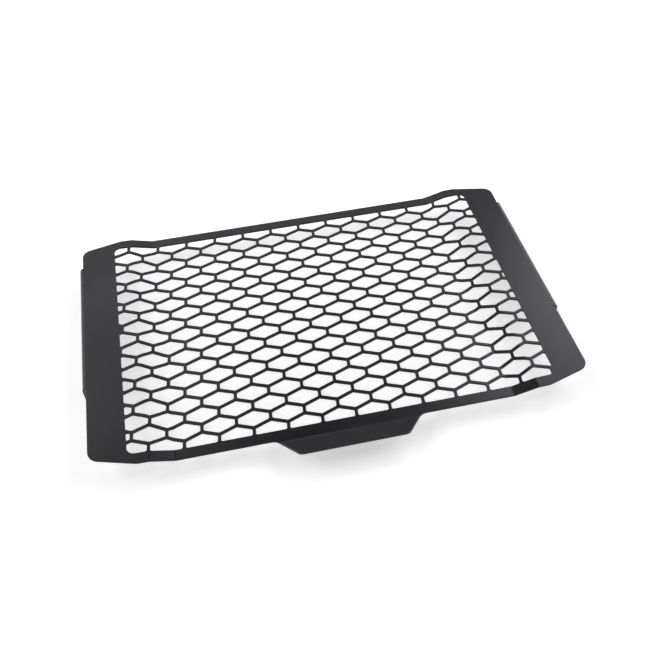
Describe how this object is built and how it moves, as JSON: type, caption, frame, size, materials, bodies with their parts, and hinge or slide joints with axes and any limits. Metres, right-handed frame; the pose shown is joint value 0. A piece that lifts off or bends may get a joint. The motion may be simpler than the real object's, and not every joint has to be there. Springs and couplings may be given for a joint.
{
  "type": "motorcycle radiator guard",
  "caption": "Folded black sheet-metal radiator guard with a leaning honeycomb mesh, raised side flanges, folded-back mounting lips and a short bottom tongue.",
  "frame": {"origin": "centre of the outline in X and Y, at the free edges of the two lips that the guard lies on", "axes": "+X across the guard to its right as seen from the front, +Y up the radiator towards the top edge, +Z out of the front face"},
  "size_m": [0.353, 0.238, 0.018],
  "materials": {
    "coat": "satin black powder coat with a fine texture, over aluminium sheet"
  },
  "bodies": {
    "root": {"radiator_guard": "coat"}
  },
  "joints": []
}
